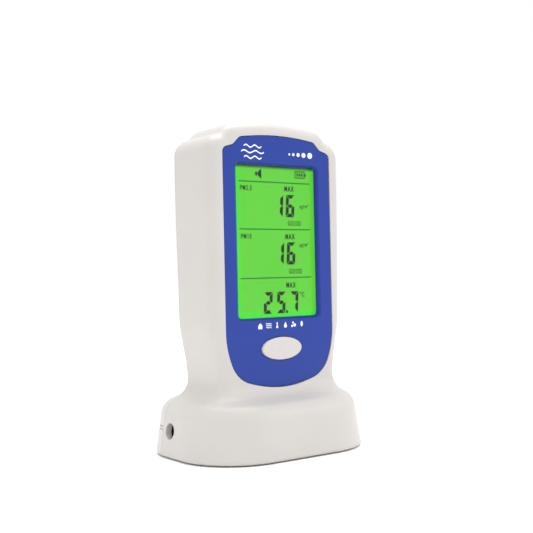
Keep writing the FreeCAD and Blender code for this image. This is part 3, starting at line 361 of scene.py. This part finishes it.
def segmentOutlines(lit, x, z, wide, tall, thick, slant):
    # one seven-segment figure from its lower left corner: bars with mitred ends, set a hair apart
    gap = 0.16
    corner = 0.1
    half = thick / 2
    reach = tall / 2

    def across(level, inner):
        # a level bar; inner is which side its short edge is on: 1 above, -1 below, 0 both
        left, right = gap + half, wide - gap - half
        if inner == 0:
            return [(left, level), (left + half, level + half), (right - half, level + half), (right, level),
                    (right - half, level - half), (left + half, level - half)]
        outer = level - inner * half
        short = level + inner * half
        return [(gap + corner, outer), (wide - gap - corner, outer), (wide - thick, short), (thick, short)]

    def upright(side, low, high):
        # a standing bar at the left or right edge; the end at the figure's outside is mitred
        edge = 0.0 if side < 0 else wide
        inside = edge - side * thick
        middle = edge - side * half
        lowCut = corner if low == 0 else 0.0
        highCut = corner if high == tall else 0.0
        points = [(edge, low + gap + lowCut), (edge, high - gap - highCut)]
        points += [(middle, high - gap)] if high != tall else []
        points += [(inside, high - gap - (half if high != tall else thick)),
                   (inside, low + gap + (half if low != 0 else thick))]
        points += [(middle, low + gap)] if low != 0 else []
        return points

    bars = {
        "a": across(tall - half, -1), "b": upright(1, reach, tall), "c": upright(1, 0, reach),
        "d": across(half, 1), "e": upright(-1, 0, reach), "f": upright(-1, reach, tall),
        "g": across(reach, 0),
    }
    return [[(x + px + slant * pz, z + pz) for px, pz in bars[key]] for key in lit]


figureSegments = {"1": "bc", "2": "abged", "5": "afgcd", "6": "afgedc", "7": "abc"}

readout = {
    # everything is measured in millimetres from the lower left corner of the window
    "inkDepth": 0.05 * mm,
    "clearance": 0.03 * mm,
    "separatorLevels": (61.6, 40.1, 17.9),
    "separatorEnds": (2.7, 42.9),
    "separatorThick": 0.55,
    "figureThick": 1.65,
    "slant": 0.055,
    "upperFigures": ((28.6, 45.8), (28.6, 23.9)),
    "figureSize": (4.9, 10.3),
    "tensBefore": 6.6,
    "lowerFigures": (15.0, 1.6),
    "lowerFigureSize": (4.8, 9.9),
    "lowerStep": 7.4,
    "pointBefore": 2.2,
    "pointWide": 1.15,
    "pointTall": 1.2,
    "speakerBox": (11.9, 64.4, 13.0, 66.1),
    "speakerHorn": ((13.3, 64.5), (15.2, 62.9), (15.2, 67.6), (13.3, 66.0)),
    "battery": (34.4, 64.0, 40.2, 67.3),
    "batteryLine": 0.42,
    "batteryInset": 0.9,
    "capGap": 0.15,
    "capWide": 0.6,
    "chargeBars": 3,
    "chargeStart": 1.1,
    "chargeWide": 0.85,
    "chargeStep": 1.4,
}


def boxOutline(x0, z0, x1, z1):
    return [(x0, z0), (x1, z0), (x1, z1), (x0, z1)]


def onWindow(outlines):
    corner = windowBox()[0]
    return [[(corner.x + x * mm, corner.z + z * mm) for x, z in outline] for outline in outlines]


def figures(text, x, z, wide, tall, step):
    made = []
    for figure in text:
        if figure == ".":
            left = x - readout["pointBefore"]
            made.append(boxOutline(left, z, left + readout["pointWide"], z + readout["pointTall"]))
            continue
        made += segmentOutlines(figureSegments[figure], x, z, wide, tall, readout["figureThick"],
                                readout["slant"])
        x += step
    return made


def arcPoints(cx, cz, radius, start, end, count):
    # points along an arc from one angle to another, in degrees
    angles = [math.radians(start + (end - start) * i / count) for i in range(count + 1)]
    return [(cx + radius * math.cos(angle), cz + radius * math.sin(angle)) for angle in angles]


def batteryShapes():
    # a frame, its cap and the charge bars inside
    left, low, right, high = readout["battery"]
    line = readout["batteryLine"]
    inset = readout["batteryInset"]
    cap = right + readout["capGap"]
    made = [boxOutline(left, low, right, low + line), boxOutline(left, high - line, right, high),
            boxOutline(left, low + line, left + line, high - line),
            boxOutline(right - line, low + line, right, high - line),
            boxOutline(cap, low + inset, cap + readout["capWide"], high - inset)]
    for i in range(readout["chargeBars"]):
        start = left + readout["chargeStart"] + readout["chargeStep"] * i
        made.append(boxOutline(start, low + inset, start + readout["chargeWide"], high - inset))
    return made


def readoutShapes():
    made = []
    wide, tall = readout["figureSize"]
    for x, z in readout["upperFigures"]:
        made += figures("6", x, z, wide, tall, 0.0)
        made += figures("1", x - readout["tensBefore"], z, wide, tall, 0.0)
    x, z = readout["lowerFigures"]
    wide, tall = readout["lowerFigureSize"]
    made += figures("25.7", x, z, wide, tall, readout["lowerStep"])
    made.append(boxOutline(*readout["speakerBox"]))
    made.append(readout["speakerHorn"])
    return made + batteryShapes()


def separators():
    start, end = readout["separatorEnds"]
    half = readout["separatorThick"] / 2
    return [boxOutline(start, level - half, end, level + half) for level in readout["separatorLevels"]]


letterForm = {"capShare": 0.72, "narrowed": 0.7, "spacing": 1.28, "curveSteps": 3, "weld": 0.002 * mm}


def lettering(name, words, corner, surfaceY, depth, material, body):
    # words is a list of (text, left x, baseline z, letter height, line weight), from the corner; the
    # letters are filled at a thousand times their size, where the fill keeps the small curves
    meshes = bmesh.new()
    upright = Matrix.Rotation(math.pi / 2, 4, "X") @ Matrix.Diagonal((letterForm["narrowed"] * mm, mm, mm, 1))
    for text, x, z, tall, weight in words:
        curve = bpy.data.curves.new(name, "FONT")
        curve.body = text
        curve.size = tall / letterForm["capShare"]
        curve.resolution_u = letterForm["curveSteps"]
        curve.offset = weight
        curve.space_character = letterForm["spacing"]
        curve.extrude = depth / mm / 2
        shown = bpy.data.objects.new(name, curve)
        bpy.context.scene.collection.objects.link(shown)
        made = bpy.data.meshes.new_from_object(shown.evaluated_get(bpy.context.evaluated_depsgraph_get()))
        place = Matrix.Translation((corner.x + x * mm, surfaceY - depth / 2, corner.z + z * mm))
        made.transform(place @ upright)
        meshes.from_mesh(made)
        bpy.data.objects.remove(shown)
        bpy.data.curves.remove(curve)
        bpy.data.meshes.remove(made)
    bmesh.ops.remove_doubles(meshes, verts=meshes.verts, dist=letterForm["weld"])
    bmesh.ops.recalc_face_normals(meshes, faces=meshes.faces)
    mesh = bpy.data.meshes.new(name)
    meshes.to_mesh(mesh)
    meshes.free()
    return finishPiece(name, mesh, material, body)


lcdInk = plainInk("lcd_segment_dark", "#04140A", 0.6)
lcdLine = plainInk("lcd_segment_green", "#0B7F24", 0.6, 0.12)
lcdWord = plainInk("lcd_segment_word", "#021806", 0.6)
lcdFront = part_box("lcd_glass")[0].y - readout["clearance"]
flatPiece("display_figures", onWindow(readoutShapes()), lcdFront, readout["inkDepth"], lcdInk,
          "housing")
flatPiece("display_lines", onWindow(separators()), lcdFront, readout["inkDepth"], lcdLine,
          "housing")
displayWords = [
    ("PM2.5", 3.3, 57.6, 2.2, 0.08), ("MAX", 28.1, 57.8, 2.3, 0.13), ("GOOD", 29.8, 41.9, 2.2, 0.06),
    ("PM10", 3.3, 35.8, 2.2, 0.08), ("MAX", 28.1, 35.7, 2.3, 0.13), ("GOOD", 29.9, 19.7, 2.2, 0.06),
    ("MAX", 28.1, 13.3, 2.3, 0.13), ("°C", 36.0, 8.8, 2.2, 0.08),
    ("µg/m³", 36.8, 50.2, 1.9, 0.04), ("µg/m³", 36.3, 32.2, 1.9, 0.04),
]
lettering("display_words", displayWords, windowBox()[0], lcdFront, readout["inkDepth"], lcdWord,
          "housing")
print("display readout")


plateMarks = {
    # white prints on the face plate, in millimetres from the middle of the plate's top edge
    "inkDepth": 0.04 * mm,
    "clearance": 0.01 * mm,
    "wavesCorner": (-20.0, -10.4),
    "waveLength": 12.4,
    "waveHeight": 0.55,
    "waveThick": 0.62,
    "waveRows": 3,
    "wavePitch": 2.5,
    "waveIndent": 1.4,
    "dotsStart": (6.3, -7.9),
    "dotRadii": (0.5, 0.7, 0.9, 1.15, 1.4),
    "dotGap": 1.15,
    "rowStart": (-11.6, -87.3),
    "rowPitch": 4.7,
    "signTall": 2.7,
    "ripple": {"before": 1.5, "rise": 0.5, "pitch": 0.85, "length": 3.0, "height": 0.2, "thick": 0.36},
    "grains": ((-0.9, 0.6, 0.55), (0.6, 1.0, 0.75), (-0.35, 2.1, 0.5)),
}


def circleOutline(x, z, radius, count=20):
    return arcPoints(x, z, radius, 0, 360, count)[:-1]


def waveOutline(x, z, length, height, thick, count=28):
    # a line that rises and falls twice, with a constant thickness
    upper = []
    lower = []
    for i in range(count + 1):
        share = i / count
        level = z + height * math.sin(share * 4 * math.pi)
        upper.append((x + share * length, level + thick / 2))
        lower.append((x + share * length, level - thick / 2))
    return lower + upper[::-1]


def dropOutline(x, z, tall):
    radius = tall * 0.32
    belly = arcPoints(x, z + radius, radius, -215, 35, 18)
    return belly + [(x, z + tall)]


def leafOutline(x, z, tall):
    half = tall / 2
    right = arcPoints(x - half * 0.75, z + half, half * 1.25, -53, 53, 10)
    left = arcPoints(x + half * 0.75, z + half, half * 1.25, 127, 233, 10)
    return right + left[1:-1]


def thermometerOutlines(x, z, tall):
    bulb = tall * 0.22
    return [circleOutline(x, z + bulb, bulb),
            boxOutline(x - bulb * 0.45, z + bulb * 2.1, x + bulb * 0.45, z + tall)]


def houseOutline(x, z, tall):
    half = tall * 0.42
    eaves = z + tall * 0.55
    return [(x - half, z), (x + half, z), (x + half, eaves), (x, z + tall), (x - half, eaves)]


def plateShapes():
    shapes = []
    left, low = plateMarks["wavesCorner"]
    for row in range(plateMarks["waveRows"]):
        indent = plateMarks["waveIndent"] * abs(row - 1)
        shapes.append(waveOutline(left + indent, low + row * plateMarks["wavePitch"],
                                  plateMarks["waveLength"] - 2 * indent, plateMarks["waveHeight"],
                                  plateMarks["waveThick"]))
    x, z = plateMarks["dotsStart"]
    for radius in plateMarks["dotRadii"]:
        shapes.append(circleOutline(x + radius, z, radius))
        x += 2 * radius + plateMarks["dotGap"]
    x, z = plateMarks["rowStart"]
    tall = plateMarks["signTall"]
    pitch = plateMarks["rowPitch"]
    shapes.append(houseOutline(x, z, tall))
    ripple = plateMarks["ripple"]
    for row in range(plateMarks["waveRows"]):
        level = z + ripple["rise"] + ripple["pitch"] * row
        shapes.append(waveOutline(x + pitch - ripple["before"], level, ripple["length"], ripple["height"],
                                  ripple["thick"], 20))
    shapes += thermometerOutlines(x + 2 * pitch, z, tall)
    shapes.append(dropOutline(x + 3 * pitch, z, tall))
    shapes += [circleOutline(x + 4 * pitch + px, z + pz, radius)
               for px, pz, radius in plateMarks["grains"]]
    shapes.append(leafOutline(x + 5 * pitch, z, tall))
    return shapes


def platePrints():
    low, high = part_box("face_plate")
    middle = (low.x + high.x) / 2
    placed = [[(middle + x * mm, high.z + z * mm) for x, z in outline] for outline in plateShapes()]
    flatPiece("plate_prints", placed, low.y - plateMarks["clearance"], plateMarks["inkDepth"], printInk,
              "housing")


printInk = plainInk("screen_print_white", "#EEF1F6", 0.45)
platePrints()
print("prints on the face plate")


jackMarks = {
    # direct-current sign printed beside the charging hole, in millimetres from the hole's middle;
    # the gap between dashes is a share of a dash
    "away": 7.2,
    "length": 4.6,
    "thick": 0.5,
    "dashes": 3,
    "dashGap": 0.6,
    "rise": 1.3,
    "lift": 0.05 * mm,
    "steps": 12,
}


def jackSign():
    # each bar is cast onto the curved wall of the base, so that it lies on the surface
    pinLow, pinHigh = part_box("socket_pin")
    middleY = (pinLow.y + pinHigh.y) / 2
    middleZ = (pinLow.z + pinHigh.z) / 2
    start = middleY + jackMarks["away"] * mm
    bars = [(start, start + jackMarks["length"] * mm, middleZ + jackMarks["rise"] * mm)]
    step = 1 + jackMarks["dashGap"]
    dash = jackMarks["length"] / (step * jackMarks["dashes"] - jackMarks["dashGap"])
    for i in range(jackMarks["dashes"]):
        left = start + i * dash * step * mm
        bars.append((left, left + dash * mm, middleZ))
    walls = [BVHTree.FromObject(nodes[name], bpy.context.evaluated_depsgraph_get())
             for name in ("back_shell", "front_shell")]

    def onWall(y, z):
        origin = Vector((2 * cadBounds[0][0], y, z))
        hits = [wall.ray_cast(origin, Vector((1, 0, 0))) for wall in walls]
        reached = [hit[0] for hit in hits if hit[0] is not None]
        return min(point.x for point in reached)

    shape = bmesh.new()
    half = jackMarks["thick"] * mm / 2
    lift = jackMarks["lift"]
    for yStart, yEnd, z in bars:
        rings = []
        edges = ((z - half, lift), (z + half, lift), (z + half, -lift / 2), (z - half, -lift / 2))
        for i in range(jackMarks["steps"] + 1):
            y = yStart + (yEnd - yStart) * i / jackMarks["steps"]
            rings.append([shape.verts.new((onWall(y, level) - out, y, level)) for level, out in edges])
        for before, after in zip(rings, rings[1:]):
            for i in range(4):
                j = (i + 1) % 4
                shape.faces.new((before[i], before[j], after[j], after[i]))
        shape.faces.new(rings[0])
        shape.faces.new(rings[-1][::-1])
    bmesh.ops.recalc_face_normals(shape, faces=shape.faces)
    mesh = bpy.data.meshes.new("jack_sign")
    shape.to_mesh(mesh)
    shape.free()
    finishPiece("jack_sign", mesh, signInk, "housing")


signInk = plainInk("pad_print_grey", "#6E7371", 0.5)
jackSign()
print("sign beside the charging hole")


def geometryTree(name, inputs):
    # an empty node tree with its size inputs and its two geometry ends
    tree = bpy.data.node_groups.new(name, "GeometryNodeTree")
    for label, kind, number in inputs:
        socket = tree.interface.new_socket(label, in_out="INPUT", socket_type=kind)
        socket.default_value = number
    tree.interface.new_socket("Geometry", in_out="OUTPUT", socket_type="NodeSocketGeometry")
    start = addNode(tree, "NodeGroupInput")
    end = addNode(tree, "NodeGroupOutput")
    return tree, start, end


def closeTree(tree, end, instances, material):
    # ends a tree: real geometry with its material
    real = addNode(tree, "GeometryNodeRealizeInstances", {0: instances})
    painted = addNode(tree, "GeometryNodeSetMaterial", {0: real.outputs[0]})
    painted.inputs["Material"].default_value = material
    tree.links.new(painted.outputs[0], end.inputs[0])


def grownPiece(name, tree, values, material, body):
    # runs the tree once on an empty mesh and keeps the result as a plain mesh
    holder = bpy.data.objects.new(name + "_grown", bpy.data.meshes.new(name + "_start"))
    bpy.context.scene.collection.objects.link(holder)
    maker = holder.modifiers.new(name, "NODES")
    maker.node_group = tree
    for socket in tree.interface.items_tree:
        if socket.item_type == "SOCKET" and socket.in_out == "INPUT":
            maker[socket.identifier] = values[socket.name]
    shown = holder.evaluated_get(bpy.context.evaluated_depsgraph_get())
    mesh = bpy.data.meshes.new_from_object(shown)
    holder.modifiers.remove(maker)
    bpy.data.objects.remove(holder)
    return finishPiece(name, mesh, material, body)


meshThreads = {"pitch": 0.75, "radius": 0.11, "sides": 6, "edge": 0.6, "lift": 0.12}


def threadTree():
    # round threads in two layers: uprights side by side, and cross threads over them
    tree, start, end = geometryTree("dust_mesh_threads", [
        ("Width", "NodeSocketFloat", 0.03), ("Height", "NodeSocketFloat", 0.02),
        ("Pitch", "NodeSocketFloat", 0.001), ("Radius", "NodeSocketFloat", 0.0001),
        ("Centre", "NodeSocketVector", (0.0, 0.0, 0.0)), ("Sides", "NodeSocketInt", 6)])
    width, height = start.outputs["Width"], start.outputs["Height"]
    layers = []
    for long, across, turn, depth in ((height, width, (0.0, 0.0, 0.0), 1.0),
                                      (width, height, (0.0, math.pi / 2, 0.0), -1.0)):
        count = addNode(tree, "ShaderNodeMath", {0: across, 1: start.outputs["Pitch"]}, operation="DIVIDE")
        rounded = addNode(tree, "ShaderNodeMath", {0: count.outputs[0]}, operation="FLOOR")
        plusOne = addNode(tree, "ShaderNodeMath", {0: rounded.outputs[0], 1: 1.0}, operation="ADD")
        span = addNode(tree, "ShaderNodeMath", {0: rounded.outputs[0], 1: start.outputs["Pitch"]},
                       operation="MULTIPLY")
        half = addNode(tree, "ShaderNodeMath", {0: span.outputs[0], 1: -0.5}, operation="MULTIPLY")
        shift = addNode(tree, "ShaderNodeMath", {0: start.outputs["Radius"], 1: depth}, operation="MULTIPLY")
        along = 0 if turn[1] == 0.0 else 2
        first = addNode(tree, "ShaderNodeCombineXYZ", {along: half.outputs[0], 1: shift.outputs[0]})
        step = addNode(tree, "ShaderNodeCombineXYZ", {along: start.outputs["Pitch"]})
        row = addNode(tree, "GeometryNodeMeshLine", {"Count": plusOne.outputs[0],
                                                     "Start Location": first.outputs[0],
                                                     "Offset": step.outputs[0]}, mode="OFFSET")
        thread = addNode(tree, "GeometryNodeMeshCylinder", {"Vertices": start.outputs["Sides"],
                                                            "Radius": start.outputs["Radius"], "Depth": long})
        spread = addNode(tree, "GeometryNodeInstanceOnPoints", {"Points": row.outputs[0],
                                                                "Instance": thread.outputs[0],
                                                                "Rotation": turn})
        layers.append(spread.outputs[0])
    both = addNode(tree, "GeometryNodeJoinGeometry")
    for layer in layers:
        tree.links.new(layer, both.inputs[0])
    moved = addNode(tree, "GeometryNodeTransform", {"Geometry": both.outputs[0],
                                                    "Translation": start.outputs["Centre"]})
    closeTree(tree, end, moved.outputs[0], blackAbs)
    return tree


def dustThreads():
    low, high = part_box("vent_mesh")
    edge = 2 * meshThreads["edge"] * mm
    lift = meshThreads["lift"] * mm
    centre = ((low.x + high.x) / 2, high.y + lift, (low.z + high.z) / 2)
    grownPiece("mesh_threads", threadTree(), {
        "Width": high.x - low.x - edge, "Height": high.z - low.z - edge, "Pitch": meshThreads["pitch"] * mm,
        "Radius": meshThreads["radius"] * mm, "Centre": centre, "Sides": meshThreads["sides"],
    }, blackAbs, "housing")


dustThreads()
print("threads of the dust mesh")


boardParts = {
    "size": (1.6, 0.8, 0.55),
    "columns": 9,
    "rows": 13,
    "pitch": (3.9, 6.1),
    "kept": 0.62,
    "seed": 7,
    "turned": 0.35,
    "turnSeed": 11,
    "tone": "#3B3129",
    "centreRise": 4.0,
}


def partsTree(material):
    # small parts in a grid on the board, some of them left out and some turned a quarter
    tree, start, end = geometryTree("board_small_parts", [
        ("Part Size", "NodeSocketVector", (0.001, 0.001, 0.001)), ("Columns", "NodeSocketInt", 5),
        ("Rows", "NodeSocketInt", 5), ("Width", "NodeSocketFloat", 0.03), ("Height", "NodeSocketFloat", 0.05),
        ("Kept", "NodeSocketFloat", 0.5), ("Seed", "NodeSocketInt", 0),
        ("Centre", "NodeSocketVector", (0.0, 0.0, 0.0))])
    grid = addNode(tree, "GeometryNodeMeshGrid", {"Size X": start.outputs["Width"],
                                                  "Size Y": start.outputs["Height"],
                                                  "Vertices X": start.outputs["Columns"],
                                                  "Vertices Y": start.outputs["Rows"]})
    standing = addNode(tree, "GeometryNodeTransform", {"Geometry": grid.outputs["Mesh"],
                                                       "Rotation": (math.pi / 2, 0.0, 0.0),
                                                       "Translation": start.outputs["Centre"]})
    chosen = addNode(tree, "FunctionNodeRandomValue", {"Probability": start.outputs["Kept"],
                                                       "Seed": start.outputs["Seed"]}, data_type="BOOLEAN")
    turned = addNode(tree, "FunctionNodeRandomValue", {"Probability": boardParts["turned"],
                                                       "Seed": boardParts["turnSeed"]}, data_type="BOOLEAN")
    angle = addNode(tree, "ShaderNodeMath", {0: turned.outputs[3], 1: math.pi / 2}, operation="MULTIPLY")
    quarter = addNode(tree, "ShaderNodeCombineXYZ", {1: angle.outputs[0]})
    part = addNode(tree, "GeometryNodeMeshCube", {"Size": start.outputs["Part Size"]})
    spread = addNode(tree, "GeometryNodeInstanceOnPoints", {"Points": standing.outputs[0],
                                                            "Selection": chosen.outputs[3],
                                                            "Instance": part.outputs["Mesh"],
                                                            "Rotation": quarter.outputs[0]})
    closeTree(tree, end, spread.outputs[0], material)
    return tree


def smallParts():
    low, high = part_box("main_board")
    wide, tall, thick = boardParts["size"]
    columns, rows = boardParts["columns"], boardParts["rows"]
    width = boardParts["pitch"][0] * (columns - 1) * mm
    height = boardParts["pitch"][1] * (rows - 1) * mm
    centre = (0.0, high.y + thick * mm / 2, (low.z + high.z) / 2 + boardParts["centreRise"] * mm)
    ceramic = plainInk("ceramic_part_brown", boardParts["tone"], 0.4)
    grownPiece("board_small_parts", partsTree(ceramic), {
        "Part Size": (wide * mm, thick * mm, tall * mm), "Columns": columns, "Rows": rows, "Width": width,
        "Height": height, "Kept": boardParts["kept"], "Seed": boardParts["seed"], "Centre": centre,
    }, ceramic, "housing")


smallParts()
print("small parts on the board")


socketContact = {"radius": 2.75, "lip": 0.35, "depth": 3.2, "sides": 40}


def contactSleeve():
    # the sprung metal sleeve in the mouth of the charging socket: a thin tube with a rolled lip
    low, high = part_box("socket_body")
    pinLow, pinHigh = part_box("socket_pin")
    y = (pinLow.y + pinHigh.y) / 2
    z = (pinLow.z + pinHigh.z) / 2
    outer = socketContact["radius"] * mm
    lip = socketContact["lip"] * mm
    profile = [(0.15, outer), (0.05, outer - lip * 0.4), (0.2, outer - lip), (0.6, outer - lip * 0.75),
               (socketContact["depth"], outer - lip * 0.7), (socketContact["depth"], outer)]
    shape = bmesh.new()
    rings = []
    for i in range(socketContact["sides"]):
        angle = 2 * math.pi * i / socketContact["sides"]
        across, rise = math.cos(angle), math.sin(angle)
        rings.append([shape.verts.new((low.x + along * mm, y + radius * across, z + radius * rise))
                      for along, radius in profile])
    for i, ring in enumerate(rings):
        following = rings[(i + 1) % len(rings)]
        for k in range(len(profile)):
            m = (k + 1) % len(profile)
            shape.faces.new((ring[k], following[k], following[m], ring[m]))
    bmesh.ops.recalc_face_normals(shape, faces=shape.faces)
    for face in shape.faces:
        face.smooth = True
    mesh = bpy.data.meshes.new("socket_sleeve")
    shape.to_mesh(mesh)
    shape.free()
    finishPiece("socket_sleeve", mesh, steel, "housing")


contactSleeve()
print("contact in the charging socket")


def stageMaterial():
    # matt paper sweep: pure white with no gloss
    material, tree, shader, place = newMaterial("matt_paper_white", "#FFFFFF", Roughness=1.0)
    shader.inputs["Specular IOR Level"].default_value = 0.0
    return material


def stage():
    mesh = bpy.data.meshes.new("floor")
    shape = bmesh.new()
    reach = 6.0
    corners = [shape.verts.new((x * reach, y * reach, 0)) for x, y in ((-1, -1), (1, -1), (1, 1), (-1, 1))]
    shape.faces.new(corners)
    shape.to_mesh(mesh)
    shape.free()
    floor = bpy.data.objects.new("floor", mesh)
    bpy.context.scene.collection.objects.link(floor)
    mesh.materials.append(stageMaterial())


lights = {
    # each light's place, the width of its disk and its power in watts
    "key": ((0.75, -0.7, 0.75), 0.6, 1.2),
    "top": ((0.1, 0.1, 1.1), 0.9, 8.5),
}


def areaLight(name, place, size, power):
    # a soft round light that faces the middle of the object
    lamp = bpy.data.lights.new(name, "AREA")
    lamp.shape = "DISK"
    lamp.size = size
    lamp.energy = power
    holder = bpy.data.objects.new(name, lamp)
    holder.location = place
    target = Vector((0, 0, 0.08))
    holder.rotation_euler = (target - Vector(place)).to_track_quat("-Z", "Y").to_euler()
    bpy.context.scene.collection.objects.link(holder)


def studio():
    world = bpy.data.worlds.new("studio")
    world.use_nodes = True
    backdrop = world.node_tree.nodes["Background"]
    backdrop.inputs[0].default_value = (1, 1, 1, 1)
    backdrop.inputs[1].default_value = 1.0
    bpy.context.scene.world = world
    for name, (place, size, power) in lights.items():
        areaLight(name, place, size, power)


cameraStand = {
    "place": (-0.25115, -0.3539, 0.0817),
    "yaw": math.radians(36.0), "pitch": math.radians(0.43), "roll": math.radians(1.21),
    "sensorWide": 36.0, "focalLength": 62.2, "nearest": 0.01,
}


def camera():
    lens = bpy.data.cameras.new("camera")
    lens.sensor_width = cameraStand["sensorWide"]
    lens.lens = cameraStand["focalLength"]
    lens.clip_start = cameraStand["nearest"]
    view = bpy.data.objects.new("camera", lens)
    yaw, pitch = cameraStand["yaw"], cameraStand["pitch"]
    ahead = Vector((math.sin(yaw) * math.cos(pitch), math.cos(yaw) * math.cos(pitch), math.sin(pitch)))
    level = ahead.to_track_quat("-Z", "Y")
    view.location = cameraStand["place"]
    view.rotation_mode = "QUATERNION"
    view.rotation_quaternion = level @ Matrix.Rotation(-cameraStand["roll"], 3, "Z").to_quaternion()
    bpy.context.scene.collection.objects.link(view)
    bpy.context.scene.camera = view


stage()
studio()
camera()
bpy.context.scene.view_settings.view_transform = "Standard"
print("stage, lights and camera")
